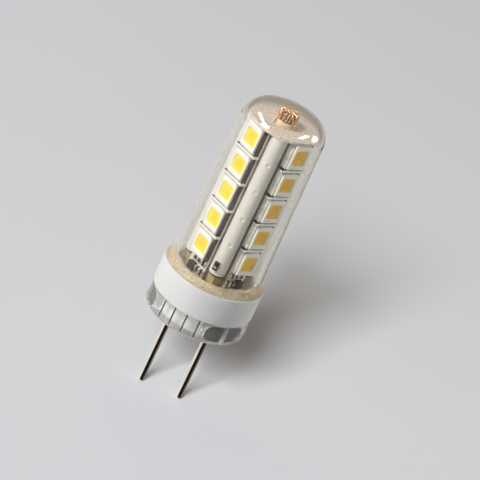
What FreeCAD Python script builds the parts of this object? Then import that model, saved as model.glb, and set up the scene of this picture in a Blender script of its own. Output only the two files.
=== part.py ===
import FreeCAD, Part
import math
import os
import Sketcher

# LED bi-pin capsule bulb. Millimetres. The origin is midway between the pins on
# the flat underside of the base, +Z runs up the axis to the dome, the pin row lies on X.

SIZES = [
    # base
    ("base_radius", 8.0),
    ("cup_height", 3.6),
    ("cup_edge_round", 0.9),
    ("cup_wall", 1.4),
    ("cup_floor", 1.0),
    ("spigot_height", 1.1),
    ("spigot_wall", 0.55),
    ("joint_clearance", 0.05),
    ("groove_count", 24),
    ("groove_width", 0.2),
    ("groove_depth", 0.4),
    ("groove_first_angle", -81.0),
    ("window_count", 3),
    ("window_first_angle", -46.0),
    ("window_half_width", 3.4),
    ("window_sill", 0.55),
    ("window_head", 0.15),
    ("window_corner", 1.2),
    ("window_bar", 0.45),
    ("window_relief", 0.3),
    ("lug_recess", 0.5),
    ("collar_height", 4.7),
    ("collar_edge", 0.15),
    ("collar_wall", 0.7),
    ("shelf_height", 0.65),
    ("shelf_width", 1.1),
    # pins
    ("pin_pitch", 6.35),
    ("pin_radius", 0.5),
    ("pin_length", 13.6),
    ("pin_tip_edge", 0.2),
    ("pin_root_step", 0.2),
    ("pin_tail_radius", 0.3),
    ("carrier_height", 2.4),
    # driver board and potting
    ("driver_thickness", 1.0),
    ("cover_gap", 0.1),
    ("potting_depth", 2.1),
    ("bead_rise", 1.2),
    ("bead_hollow", 0.1),
    # cover
    ("cover_taper", 0.6),
    ("cover_wall", 0.85),
    ("knuckle_radius", 3.2),
    ("crown_radius", 11.0),
    ("coil_headroom", 0.32),
    # column
    ("column_turn", 4.5),
    ("column_clearance", 0.064),
    ("core_wall", 1.55),
    ("post_radius", 1.25),
    ("post_clearance", 0.25),
    ("foot_height", 3.8),
    ("foot_pad", 0.2),
    # boards
    ("board_thickness", 0.65),
    ("board_margin", 0.05),
    ("slot_clearance", 0.05),
    # LEDs
    ("led_per_board", 5),
    ("led_half", 1.5),
    ("led_length", 3.9),
    ("led_height", 1.1),
    ("led_corner", 0.35),
    ("led_side_wall", 0.3),
    ("led_end_wall", 0.75),
    ("well_depth", 0.38),
    ("well_corner", 0.22),
    ("phosphor_recess", 0.12),
    # rails and clips
    ("rail_gap", 0.05),
    ("rail_thickness", 0.17),
    ("rail_height", 0.8),
    ("clip_thickness", 0.36),
    ("clip_space", 0.22),
    ("clip_foot", 0.15),
    ("clip_leg", 0.31),
    ("clip_bridge", 0.27),
    ("clip_clearance", 0.03),
    # top plate and coil
    ("plate_clearance", 0.4),
    ("plate_thickness", 0.5),
    ("seat_radius", 1.55),
    ("seat_height", 0.45),
    ("seat_peg_radius", 0.24),
    ("coil_ring_radius", 0.95),
    ("coil_core_width", 0.76),
    ("coil_core_height", 0.96),
    ("coil_wire", 0.2),
    ("coil_turns", 10),
    # surface-mount parts
    ("parts_rise", 0.1),
    ("parts_shift", 0.35),
    ("parts_gap", 0.2),
    ("parts_row_gap", 0.375),
    ("parts_led_gap", 0.225),
    ("diode_across", 1.2),
    ("diode_along", 1.3),
    ("diode_height", 0.75),
    ("resistor_across", 0.72),
    ("resistor_along", 0.95),
    ("resistor_height", 0.35),
    ("capacitor_across", 0.75),
    ("capacitor_along", 1.25),
    ("capacitor_height", 0.6),
    ("chip_across", 2.4),
    ("chip_along", 2.0),
    ("chip_height", 0.9),
    ("post_chip_across", 0.75),
    ("post_chip_along", 1.4),
    ("post_chip_height", 0.4),
    ("post_chip_rise", 1.7),
    ("post_chip_turn", -24.0),
]

FACES = ["front_right", "back_right", "back_left", "front_left"]

doc = FreeCAD.newDocument("Bulb")
sheet = doc.addObject("Spreadsheet::Sheet", "Sizes")
for row, (name, value) in enumerate(SIZES, start=1):
    sheet.set("A%d" % row, name)
    sheet.set("B%d" % row, str(value))
    sheet.setAlias("B%d" % row, name)
doc.recompute()


class Sheet:
    """Reads a size by its name."""

    def __getattr__(self, name):
        return float(sheet.get(name))


size = Sheet()
Z_AXIS = FreeCAD.Vector(0, 0, 1)

# how far a cutting block runs past the face that it opens
PAST = 1.0

# heights that several pieces share, from the base up
CUP_TOP = size.cup_height
COLLAR_TOP = CUP_TOP + size.collar_height
SHELF_LOW = CUP_TOP + size.spigot_height + size.joint_clearance
DRIVER_LOW = SHELF_LOW + size.shelf_height
DRIVER_TOP = DRIVER_LOW + size.driver_thickness
POTTING_TOP = DRIVER_TOP + size.potting_depth
FOOT_TOP = DRIVER_TOP + size.foot_height
COLUMN_LOW = FOOT_TOP + size.foot_pad
BEAD_TOP = COLLAR_TOP + size.bead_rise
CARRIER_TOP = size.cup_floor + size.carrier_height
LOW_ROW = POTTING_TOP + size.parts_rise + size.diode_along / 2
HIGH_ROW = LOW_ROW + size.diode_along / 2 + size.parts_row_gap + size.resistor_along / 2
LED_LOW = HIGH_ROW + size.resistor_along / 2 + size.parts_led_gap
LED_PITCH = size.led_length + size.clip_thickness + 2 * size.clip_space
LED_FIRST = LED_LOW + size.led_length / 2
LED_HIGH = LED_LOW + LED_PITCH * (size.led_per_board - 1) + size.led_length
COLUMN_TOP = LED_HIGH + size.board_margin
PLATE_TOP = COLUMN_TOP + size.plate_thickness
SEAT_TOP = PLATE_TOP + size.seat_height
COIL_Z = SEAT_TOP + size.coil_wire + size.coil_core_height / 2
CEILING = COIL_Z + size.coil_core_height / 2 + size.coil_wire + size.coil_headroom

# radii of the shells, from the base's outside in
COLLAR_BORE = size.base_radius - size.collar_wall
COVER_FOOT = COLLAR_BORE - size.cover_gap
COVER_NECK = COVER_FOOT - size.cover_taper
CUP_BORE = size.base_radius - size.cup_wall
SPIGOT_RADIUS = CUP_BORE + size.spigot_wall
PIN_ROOT = size.pin_radius + size.pin_root_step

# a board's stack across the face and outward: the clips' corners clear the cover
RAIL_IN = size.led_half + size.rail_gap
RAIL_OUT = RAIL_IN + size.rail_thickness
CLIP_IN = RAIL_OUT + size.clip_clearance
CLIP_OUT = CLIP_IN + size.clip_leg
CLIP_RISE = size.rail_height + size.clip_clearance + size.clip_bridge
BOARD_HALF = CLIP_IN + size.clip_foot
COLUMN_REACH = COVER_NECK - size.cover_wall
CORE_HALF = (
    math.sqrt((COLUMN_REACH - size.column_clearance) ** 2 - CLIP_OUT ** 2) - CLIP_RISE - size.board_thickness
)
POST_REACH = COLUMN_REACH - size.post_clearance
CORE_BORE = CORE_HALF - size.core_wall
BOARD_FACE = CORE_HALF + size.board_thickness
LED_FACE = BOARD_FACE + size.led_height


def dome_centres(radius, knuckle, crown, base):
    """Knuckle centre, crown centre and the angle where the two arcs meet."""
    knuckle_x = radius - knuckle
    drop = math.sqrt((crown - knuckle) ** 2 - knuckle_x ** 2)
    meet = math.degrees(math.atan2(drop, knuckle_x))
    return (knuckle_x, base), (0.0, base - drop), meet


# the dome starts where its ceiling clears the coil
INNER_DOME = (COLUMN_REACH, size.knuckle_radius - size.cover_wall, size.crown_radius - size.cover_wall)
OUTER_DOME = (COVER_NECK, size.knuckle_radius, size.crown_radius)
COVER_SHOULDER = CEILING - INNER_DOME[2] - dome_centres(*INNER_DOME, 0.0)[1][1]

# the cover's side leans in by this much for each millimetre of height
DRAFT = size.cover_taper / (COVER_SHOULDER - DRIVER_TOP)


def cover_outside(z):
    return COVER_FOOT - DRAFT * (z - DRIVER_TOP)


def cover_inside(z):
    return cover_outside(z) - size.cover_wall


def turned(angle, base=(0, 0, 0)):
    """A placement turned about the axis, with a shift made before the turn."""
    turn = FreeCAD.Rotation(Z_AXIS, angle)
    return FreeCAD.Placement(turn.multVec(FreeCAD.Vector(*base)), turn)


def face_angle(index):
    """Direction of a board's outward normal, as the turn of a frame whose -Y is outward."""
    return size.column_turn + 45.0 + 90.0 * index


def box(label, spans, angle=0.0, sized=None):
    """A block between the (low, high) pairs of x, y and z, turned about the axis."""
    item = doc.addObject("Part::Box", label)
    for field, (low, high) in zip(("Length", "Width", "Height"), spans):
        setattr(item, field, high - low)
    for field, text in (sized or {}).items():
        item.setExpression(field, text)
    item.Placement = turned(angle, [low for low, high in spans])
    return item


def cylinder(label, radius, low, high, x=0.0, y=0.0, sized=None):
    item = doc.addObject("Part::Cylinder", label)
    item.Radius = radius
    item.Height = high - low
    for field, text in (sized or {}).items():
        item.setExpression(field, text)
    item.Placement = FreeCAD.Placement(FreeCAD.Vector(x, y, low), FreeCAD.Rotation())
    return item


def fuse(label, items):
    item = doc.addObject("Part::MultiFuse", label)
    item.Shapes = items
    item.Refine = True
    return item


def cut(label, base, tools):
    item = doc.addObject("Part::Cut", label)
    item.Base = base
    item.Tool = tools[0] if len(tools) == 1 else fuse(label + "_tools", tools)
    item.Refine = True
    return item


def group(label, items):
    item = doc.addObject("Part::Compound", label)
    item.Links = items
    return item


def origin_plane(body, role):
    for item in body.Origin.OriginFeatures:
        if item.Role == role:
            return item


def turned_body(label, edges):
    """A PartDesign body made by turning a closed profile of lines and arcs about Z."""
    body = doc.addObject("PartDesign::Body", label)
    sketch = body.newObject("Sketcher::SketchObject", label + "_profile")
    sketch.AttachmentSupport = [(origin_plane(body, "XZ_Plane"), "")]
    sketch.MapMode = "FlatFace"
    for edge in edges:
        sketch.addGeometry(edge, False)
    for index in range(len(edges)):
        if isinstance(edges[index], Part.LineSegment):
            start, end = edges[index].StartPoint, edges[index].EndPoint
            if abs(start.x - end.x) < 1e-7:
                sketch.addConstraint(Sketcher.Constraint("Vertical", index))
            elif abs(start.y - end.y) < 1e-7:
                sketch.addConstraint(Sketcher.Constraint("Horizontal", index))
    turn = body.newObject("PartDesign::Revolution", label + "_turn")
    turn.Profile = sketch
    turn.ReferenceAxis = (sketch, ["V_Axis"])
    turn.Angle = 360.0
    doc.recompute()
    return body


def line(a, b):
    return Part.LineSegment(FreeCAD.Vector(a[0], a[1], 0), FreeCAD.Vector(b[0], b[1], 0))


def path(points):
    """Lines through the points and back to the first one."""
    return [line(a, b) for a, b in zip(points, points[1:] + points[:1])]


def arc(centre, radius, start, end):
    """An arc, anticlockwise between two angles in degrees."""
    circle = Part.Circle(FreeCAD.Vector(centre[0], centre[1], 0), FreeCAD.Vector(0, 0, 1), radius)
    return Part.ArcOfCircle(circle, math.radians(start), math.radians(end))


PIECES = []


def keep(item, label):
    item.Label = label
    PIECES.append((label, item))
    return item


# clear cover: a drafted tube closed by a knuckle and a shallow crown
def dome_edges(radius, knuckle, crown):
    knuckle_at, crown_at, meet = dome_centres(radius, knuckle, crown, COVER_SHOULDER)
    top = crown_at[1] + crown
    return [arc(knuckle_at, knuckle, 0.0, meet), arc(crown_at, crown, meet, 90.0)], top


outer_arcs, COVER_TOP = dome_edges(*OUTER_DOME)
inner_arcs, inner_top = dome_edges(*INNER_DOME)
cover = turned_body(
    "cover",
    [line((COVER_FOOT, DRIVER_TOP), (COVER_NECK, COVER_SHOULDER))]
    + outer_arcs
    + [line((0, COVER_TOP), (0, inner_top))]
    + inner_arcs
    + [
        line((COLUMN_REACH, COVER_SHOULDER), (COVER_FOOT - size.cover_wall, DRIVER_TOP)),
        line((COVER_FOOT - size.cover_wall, DRIVER_TOP), (COVER_FOOT, DRIVER_TOP)),
    ],
)
keep(cover, "cover")

# white collar: takes the cup's spigot below, the driver board and the cover above
collar = turned_body(
    "collar",
    path(
        [
            (size.base_radius - size.collar_edge, CUP_TOP),
            (size.base_radius, CUP_TOP + size.collar_edge),
            (size.base_radius, COLLAR_TOP - size.collar_edge),
            (size.base_radius - size.collar_edge, COLLAR_TOP),
            (COLLAR_BORE, COLLAR_TOP),
            (COLLAR_BORE, DRIVER_LOW),
            (COLLAR_BORE - size.shelf_width, DRIVER_LOW),
            (COLLAR_BORE - size.shelf_width, SHELF_LOW),
            (SPIGOT_RADIUS + size.joint_clearance, SHELF_LOW),
            (SPIGOT_RADIUS + size.joint_clearance, CUP_TOP),
        ]
    ),
)
keep(collar, "collar")

# clear base cup: turned shell, then the grip grooves, the windows and the pin holes
edge = size.cup_edge_round
shell = turned_body(
    "cup_shell",
    [
        line((0, 0), (size.base_radius - edge, 0)),
        arc((size.base_radius - edge, edge), edge, 270.0, 360.0),
        line((size.base_radius, edge), (size.base_radius, CUP_TOP)),
        line((size.base_radius, CUP_TOP), (SPIGOT_RADIUS, CUP_TOP)),
        line((SPIGOT_RADIUS, CUP_TOP), (SPIGOT_RADIUS, CUP_TOP + size.spigot_height)),
        line((SPIGOT_RADIUS, CUP_TOP + size.spigot_height), (CUP_BORE, CUP_TOP + size.spigot_height)),
        line((CUP_BORE, CUP_TOP + size.spigot_height), (CUP_BORE, size.cup_floor)),
        line((CUP_BORE, size.cup_floor), (0, size.cup_floor)),
        line((0, size.cup_floor), (0, 0)),
    ],
)


def window_angles():
    step = 360.0 / size.window_count
    return [size.window_first_angle + step * n for n in range(int(size.window_count))]


def near_window(angle):
    reach = math.degrees(math.asin((size.window_half_width + size.groove_width) / size.base_radius))
    return any(abs((angle - other + 180.0) % 360.0 - 180.0) < reach for other in window_angles())


grooves = []
for n in range(int(size.groove_count)):
    angle = size.groove_first_angle + 360.0 * n / size.groove_count
    if near_window(angle):
        continue
    grooves.append(
        box(
            "cup_groove_%d" % n,
            [
                (size.base_radius - size.groove_depth, size.base_radius + PAST),
                (-size.groove_width / 2, size.groove_width / 2),
                (size.window_sill, CUP_TOP + PAST),
            ],
            angle,
            {"Width": "Sizes.groove_width"},
        )
    )


def pane(label, angle, side, radial, ease):
    """Half a window beside its bar, with its outer corners rounded; ease is taken off all round."""
    low = size.window_sill + ease
    high = CUP_TOP - size.window_head - ease
    inner = side * (size.window_bar / 2 + ease)
    outer = side * (size.window_half_width - ease)
    corner = size.window_corner - ease
    bend = outer - side * corner
    tall = tuple(sorted((inner, bend)))
    wide = tuple(sorted((inner, outer)))
    items = [
        box(label + "_tall", [radial, tall, (low, high)], angle),
        box(label + "_wide", [radial, wide, (low + corner, high - corner)], angle),
    ]
    for name, z in (("low", low + corner), ("high", high - corner)):
        round_corner = doc.addObject("Part::Cylinder", "%s_%s_corner" % (label, name))
        round_corner.Radius = corner
        round_corner.Height = radial[1] - radial[0]
        along = FreeCAD.Placement(
            FreeCAD.Vector(radial[0], bend, z), FreeCAD.Rotation(FreeCAD.Vector(0, 1, 0), 90.0)
        )
        round_corner.Placement = turned(angle).multiply(along)
        items.append(round_corner)
    return items


WINDOW_BACK = math.sqrt(CUP_BORE ** 2 - size.window_half_width ** 2) - size.window_relief
panes = []
lugs = []
for n, angle in enumerate(window_angles()):
    for side, hand in ((-1, "a"), (1, "b")):
        panes += pane("cup_pane_%d_%s" % (n, hand), angle, side, (WINDOW_BACK, size.base_radius + PAST), 0.0)
        lugs += pane(
            "carrier_lug_%d_%s" % (n, hand), angle, side,
            (WINDOW_BACK + size.joint_clearance, size.base_radius), size.joint_clearance,
        )

PIN_X = size.pin_pitch / 2


def pin_holes(label, radius, low, high, sized):
    """A cylinder round each pin, to cut the pins' holes with."""
    return [
        cylinder("%s_%d" % (label, n), radius, low - PAST, high + PAST, x, 0.0, sized)
        for n, x in enumerate((-PIN_X, PIN_X))
    ]


cup_holes = pin_holes(
    "cup_hole", PIN_ROOT + size.joint_clearance, 0.0, size.cup_floor,
    {"Radius": "Sizes.pin_radius + Sizes.pin_root_step + Sizes.joint_clearance"},
)
base_cup = cut("base_cup", shell, grooves + panes + cup_holes)
keep(base_cup, "base_cup")

# contact pins: a bare shank, a thicker root in the base and a thin tail soldered in the driver board
for label, x in (("contact_pin_left", -PIN_X), ("contact_pin_right", PIN_X)):
    pin = turned_body(
        label,
        path(
            [
                (0, -size.pin_length),
                (size.pin_radius - size.pin_tip_edge, -size.pin_length),
                (size.pin_radius, -size.pin_length + size.pin_tip_edge),
                (size.pin_radius, 0),
                (PIN_ROOT, 0),
                (PIN_ROOT, CARRIER_TOP),
                (size.pin_tail_radius, CARRIER_TOP),
                (size.pin_tail_radius, DRIVER_TOP),
                (0, DRIVER_TOP),
            ]
        ),
    )
    pin.Placement = FreeCAD.Placement(FreeCAD.Vector(x, 0, 0), FreeCAD.Rotation())
    keep(pin, label)

# pin carrier: a disc on the cup's floor, moulded on to the pins' roots, with lugs that snap into the windows
carrier_disc = cylinder(
    "carrier_disc", CUP_BORE - size.joint_clearance, size.cup_floor, CARRIER_TOP,
    sized={"Height": "Sizes.carrier_height"},
)
lug_limit = cylinder("lug_limit", size.base_radius - size.lug_recess, 0.0, CUP_TOP)
lug_pads = doc.addObject("Part::Common", "lug_pads")
lug_pads.Base = fuse("lug_blocks", lugs)
lug_pads.Tool = lug_limit
carrier_holes = pin_holes(
    "carrier_hole", PIN_ROOT, size.cup_floor, CARRIER_TOP,
    {"Radius": "Sizes.pin_radius + Sizes.pin_root_step"},
)
keep(cut("pin_carrier", fuse("carrier_body", [carrier_disc, lug_pads]), carrier_holes), "pin_carrier")

# driver board: sits on the collar's shelf, the cover stands on its rim
driver_disc = cylinder(
    "driver_disc", COLLAR_BORE - size.joint_clearance, DRIVER_LOW, DRIVER_TOP,
    sized={"Height": "Sizes.driver_thickness"},
)
driver_holes = pin_holes(
    "driver_hole", size.pin_tail_radius + size.joint_clearance, DRIVER_LOW, DRIVER_TOP,
    {"Radius": "Sizes.pin_tail_radius + Sizes.joint_clearance"},
)
keep(cut("driver_board", driver_disc, driver_holes), "driver_board")

# sealing bead: fills the gap round the cover's foot and climbs the cover in a hollow curve
bead_low = FreeCAD.Vector(size.base_radius - size.collar_edge, COLLAR_TOP, 0)
bead_high = FreeCAD.Vector(cover_outside(BEAD_TOP), BEAD_TOP, 0)
bead_slope = (bead_high - bead_low).normalize()
bead_inward = FreeCAD.Vector(-bead_slope.y, bead_slope.x, 0)
bead_mid = (bead_low + bead_high) / 2 + bead_inward * size.bead_hollow
bead_curve = Part.Arc(bead_low, bead_mid, bead_high)
bead = turned_body(
    "sealing_bead",
    [
        bead_curve,
        line((cover_outside(BEAD_TOP), BEAD_TOP), (cover_outside(DRIVER_TOP), DRIVER_TOP)),
        line((cover_outside(DRIVER_TOP), DRIVER_TOP), (COLLAR_BORE, DRIVER_TOP)),
        line((COLLAR_BORE, DRIVER_TOP), (COLLAR_BORE, COLLAR_TOP)),
        line((COLLAR_BORE, COLLAR_TOP), (size.base_radius - size.collar_edge, COLLAR_TOP)),
    ],
)
keep(bead, "sealing_bead")

# column core: a square with a rounded post at each corner and a bore for the wires
POST_AT = POST_REACH - size.post_radius


def square(label, half, low, high, angle):
    return box(label, [(-half, half), (-half, half), (low, high)], angle)


FIRST = face_angle(0)
SLOT = BOARD_HALF + size.slot_clearance
CLIP_ROOM = CLIP_OUT + size.slot_clearance


def section(label, low, high):
    """The column's section between two heights: a bored square with corner posts, and room for boards and clips."""
    solids = [square(label + "_block", CORE_HALF, low, high, FIRST)]
    tools = [cylinder(label + "_bore", CORE_BORE, low - PAST, high + PAST)]
    for n in range(len(FACES)):
        turn = math.radians(FIRST + 45.0 + 90.0 * n)
        solids.append(
            cylinder(
                "%s_post_%d" % (label, n), size.post_radius, low, high,
                POST_AT * math.cos(turn), POST_AT * math.sin(turn), {"Radius": "Sizes.post_radius"},
            )
        )
        tools.append(
            box(
                "%s_slot_%d" % (label, n),
                [(-SLOT, SLOT), (-POST_REACH - PAST, -CORE_HALF), (low - PAST, high + PAST)],
                face_angle(n),
            )
        )
        tools.append(
            box(
                "%s_clip_room_%d" % (label, n),
                [(-CLIP_ROOM, CLIP_ROOM), (-POST_REACH - PAST, -BOARD_FACE), (low - PAST, high + PAST)],
                face_angle(n),
            )
        )
    return cut(label, fuse(label + "_solid", solids), tools)


keep(section("column_core", COLUMN_LOW, COLUMN_TOP), "column_core")

# dark insulating pad between the core and the foot block
keep(section("foot_pad", FOOT_TOP, COLUMN_LOW), "foot_pad")

# foot block: carries the core above the potting
foot_square = square("foot_square", CORE_HALF, DRIVER_TOP, FOOT_TOP, FIRST)
foot_bore = cylinder("foot_bore", CORE_BORE, DRIVER_TOP - PAST, FOOT_TOP + PAST)
foot_block = cut("foot_block", foot_square, [foot_bore])
keep(foot_block, "foot_block")

# LED boards with their packages, phosphor, rails and clips. In a face's own frame -Y is outward.
def led_height_at(n):
    return LED_FIRST + LED_PITCH * n


def edges_at(item, points):
    """Numbers of the edges whose middles are at the points."""
    return [
        k for k, edge in enumerate(item.Shape.Edges, start=1)
        if any((edge.CenterOfMass - point).Length < 1e-6 for point in points)
    ]


def chamfered(label, base, points, reach):
    doc.recompute()
    item = doc.addObject("Part::Chamfer", label)
    item.Base = base
    item.Edges = [(k, reach, reach) for k in edges_at(base, points)]
    return item


def package(label, angle, z):
    """An LED's white body, with one corner cut to mark its pole."""
    half_z = size.led_length / 2
    block = box(
        label + "_block",
        [(-size.led_half, size.led_half), (-LED_FACE, -BOARD_FACE), (z - half_z, z + half_z)],
        angle,
        {"Length": "2 * Sizes.led_half", "Width": "Sizes.led_height", "Height": "Sizes.led_length"},
    )
    turn = FreeCAD.Rotation(Z_AXIS, angle)
    corner = turn.multVec(FreeCAD.Vector(size.led_half, -(LED_FACE + BOARD_FACE) / 2, z + half_z))
    return chamfered(label + "_marked", block, [corner], size.led_corner)


def well(label, angle, z, low, high):
    """The window in an LED's face between two depths: a block with its four corners cut."""
    across = size.led_half - size.led_side_wall
    along = size.led_length / 2 - size.led_end_wall
    block = box(
        label + "_square",
        [(-across, across), (-high, -low), (z - along, z + along)],
        angle,
        {
            "Length": "2 * (Sizes.led_half - Sizes.led_side_wall)",
            "Height": "Sizes.led_length - 2 * Sizes.led_end_wall",
        },
    )
    turn = FreeCAD.Rotation(Z_AXIS, angle)
    corners = [
        turn.multVec(FreeCAD.Vector(side * across, -(low + high) / 2, z + end * along))
        for side in (-1, 1)
        for end in (-1, 1)
    ]
    return chamfered(label, block, corners, size.well_corner)


def rail(label, angle, side):
    return box(
        label,
        [
            tuple(sorted((side * RAIL_IN, side * RAIL_OUT))),
            (-BOARD_FACE - size.rail_height, -BOARD_FACE),
            (LED_LOW, LED_HIGH),
        ],
        angle,
        {"Length": "Sizes.rail_thickness", "Width": "Sizes.rail_height"},
    )


def clip(label, angle, z):
    """A staple over the rails, midway between two LEDs."""
    half_z = size.clip_thickness / 2
    under = BOARD_FACE + size.rail_height + size.clip_clearance
    frame = box(
        label + "_frame",
        [(-CLIP_OUT, CLIP_OUT), (-BOARD_FACE - CLIP_RISE, -BOARD_FACE), (z - half_z, z + half_z)],
        angle,
        {"Height": "Sizes.clip_thickness"},
    )
    space = box(
        label + "_space",
        [(-CLIP_IN, CLIP_IN), (-under, -BOARD_FACE + PAST), (z - half_z - PAST, z + half_z + PAST)],
        angle,
    )
    return cut(label, frame, [space])


WELL_FLOOR = LED_FACE - size.well_depth
LED_COUNT = int(size.led_per_board)
boards = []
clips = [[] for level in range(LED_COUNT - 1)]
for index, face in enumerate(FACES):
    angle = face_angle(index)
    board = box(
        "board_%s" % face,
        [(-BOARD_HALF, BOARD_HALF), (-BOARD_FACE, -CORE_HALF), (DRIVER_TOP, COLUMN_TOP)],
        angle,
        {"Width": "Sizes.board_thickness"},
    )
    boards.append(board)
    keep(board, "led_board_%s" % face)

    fills = []
    for n in range(LED_COUNT):
        z = led_height_at(n)
        name = "led_%s_%d" % (face, n + 1)
        hollow = well(name + "_well", angle, z, WELL_FLOOR, LED_FACE + PAST)
        keep(cut(name, package(name, angle, z), [hollow]), name)
        fills.append(well("fill_%s_%d" % (face, n + 1), angle, z, WELL_FLOOR, LED_FACE - size.phosphor_recess))
    keep(group("phosphor_%s" % face, fills), "phosphor_%s" % face)

    rails = [rail("rail_%s_%d" % (face, side), angle, side) for side in (-1, 1)]
    keep(group("rails_%s" % face, rails), "rails_%s" % face)
    for level in range(LED_COUNT - 1):
        clips[level].append(clip("clip_%s_%d" % (face, level), angle, led_height_at(level + 0.5)))
for level, items in enumerate(clips):
    keep(group("board_clips_%d" % (level + 1), items), "board_clips_%d" % (level + 1))

# potting: the cream floor, cast round the foot block and the boards
potting_blank = turned_body(
    "potting_blank",
    path(
        [
            (0, DRIVER_TOP),
            (cover_inside(DRIVER_TOP), DRIVER_TOP),
            (cover_inside(POTTING_TOP), POTTING_TOP),
            (0, POTTING_TOP),
        ]
    ),
)
potting_well = square("potting_well", CORE_HALF, DRIVER_TOP - PAST, FOOT_TOP, FIRST)
potting = cut("potting", potting_blank, [potting_well] + boards)
keep(potting, "potting")

# top plate, coil seat, coil core and winding
plate = cylinder(
    "top_plate", COLUMN_REACH - size.plate_clearance, COLUMN_TOP, PLATE_TOP,
    sized={"Height": "Sizes.plate_thickness"},
)
keep(plate, "top_plate")
seat_disc = cylinder("seat_disc", size.seat_radius, PLATE_TOP, SEAT_TOP, sized={"Radius": "Sizes.seat_radius"})
seat_peg = cylinder("seat_peg", size.seat_peg_radius, PLATE_TOP, COIL_Z, sized={"Radius": "Sizes.seat_peg_radius"})
keep(fuse("coil_seat", [seat_disc, seat_peg]), "coil_seat")
RING_IN = size.coil_ring_radius - size.coil_core_width / 2
RING_OUT = size.coil_ring_radius + size.coil_core_width / 2
RING_LOW = COIL_Z - size.coil_core_height / 2
RING_HIGH = COIL_Z + size.coil_core_height / 2
coil_core = turned_body(
    "coil_core", path([(RING_IN, RING_LOW), (RING_OUT, RING_LOW), (RING_OUT, RING_HIGH), (RING_IN, RING_HIGH)])
)
keep(coil_core, "coil_core")


def coil_turn(label, angle):
    """One closed turn of square wire round the core's section."""
    half = size.coil_wire / 2
    inner = math.sqrt(RING_IN ** 2 - half ** 2)
    frame = box(
        label + "_frame",
        [
            (inner - size.coil_wire, RING_OUT + size.coil_wire),
            (-half, half),
            (RING_LOW - size.coil_wire, RING_HIGH + size.coil_wire),
        ],
        angle,
        {"Width": "Sizes.coil_wire"},
    )
    space = box(
        label + "_space",
        [(inner, RING_OUT), (-half - PAST, half + PAST), (RING_LOW, RING_HIGH)],
        angle,
    )
    return cut(label, frame, [space])


coil_step = 360.0 / size.coil_turns
turns = [coil_turn("coil_turn_%d" % n, coil_step * n) for n in range(int(size.coil_turns))]
keep(group("coil_winding", turns), "coil_winding")


# surface-mount parts on the boards' lower ends
def mounted(label, kind, index, across_at, z):
    """A small block soldered on a board; its size is read from the sheet by kind."""
    across = getattr(size, kind + "_across") / 2
    along = getattr(size, kind + "_along") / 2
    height = getattr(size, kind + "_height")
    return box(
        label,
        [(across_at - across, across_at + across), (-BOARD_FACE - height, -BOARD_FACE), (z - along, z + along)],
        face_angle(index),
        {
            "Length": "Sizes.%s_across" % kind,
            "Width": "Sizes.%s_height" % kind,
            "Height": "Sizes.%s_along" % kind,
        },
    )


def row(kinds, shift=0.0):
    """Centres of a row of parts that stand side by side on a board, with the row's middle at shift."""
    widths = [getattr(size, kind + "_across") for kind in kinds]
    at = shift - (sum(widths) + size.parts_gap * (len(kinds) - 1)) / 2
    centres = []
    for width in widths:
        centres.append(at + width / 2)
        at += width + size.parts_gap
    return centres


FRONT_RIGHT, BACK_RIGHT, BACK_LEFT, FRONT_LEFT = range(len(FACES))
diodes = []
capacitors = []
for index, side in ((FRONT_LEFT, 1), (FRONT_RIGHT, -1)):
    # on both front boards the parts stand towards the front post
    face = FACES[index]
    first, second, last = [side * at for at in row(["diode", "resistor", "resistor"], size.parts_shift)]
    diodes.append(mounted("diode_%s" % face, "diode", index, first, LOW_ROW))
    label = "chip_resistors_left" if index == FRONT_LEFT else "chip_resistors_right"
    places = [(at, HIGH_ROW) for at in row(["resistor"] * 3, side * size.parts_shift)]
    places += [(second, LOW_ROW), (last, LOW_ROW)]
    items = [mounted("%s_%d" % (label, k), "resistor", index, at, z) for k, (at, z) in enumerate(places)]
    keep(group(label, items), label)
chip_at, beside = row(["chip", "capacitor"])
chip_z = POTTING_TOP + size.parts_rise + size.chip_along / 2
keep(mounted("driver_chip", "chip", BACK_RIGHT, chip_at, chip_z), "driver_chip")
capacitors.append(mounted("capacitor_back_right", "capacitor", BACK_RIGHT, beside, LOW_ROW))
capacitors.append(mounted("capacitor_back_left", "capacitor", BACK_LEFT, 0.0, HIGH_ROW))
for n, at in enumerate(row(["diode", "diode"])):
    diodes.append(mounted("diode_back_left_%d" % n, "diode", BACK_LEFT, at, LOW_ROW))
keep(group("rectifier_diodes", diodes), "rectifier_diodes")
keep(group("chip_capacitors", capacitors), "chip_capacitors")

# small chip on the front post, a little round to its left, hollowed at the back to sit on it
POST_CHIP_Z = FOOT_TOP + size.post_chip_rise
front = math.radians(size.column_turn)
post_x, post_y = POST_AT * math.sin(front), -POST_AT * math.cos(front)
chip_half = size.post_chip_across / 2
chip_seat = math.sqrt(size.post_radius ** 2 - chip_half ** 2)
chip_block = box(
    "post_chip_block",
    [
        (-chip_half, chip_half),
        (-size.post_radius - size.post_chip_height, -chip_seat),
        (POST_CHIP_Z - size.post_chip_along / 2, POST_CHIP_Z + size.post_chip_along / 2),
    ],
    size.column_turn + size.post_chip_turn,
    {"Length": "Sizes.post_chip_across", "Height": "Sizes.post_chip_along"},
)
to_post = FreeCAD.Placement(FreeCAD.Vector(post_x, post_y, 0), FreeCAD.Rotation())
chip_block.Placement = to_post.multiply(chip_block.Placement)
chip_hollow = cylinder(
    "post_chip_hollow", size.post_radius, FOOT_TOP, COLUMN_TOP, post_x, post_y, {"Radius": "Sizes.post_radius"}
)
keep(cut("post_chip", chip_block, [chip_hollow]), "post_chip")

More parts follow.
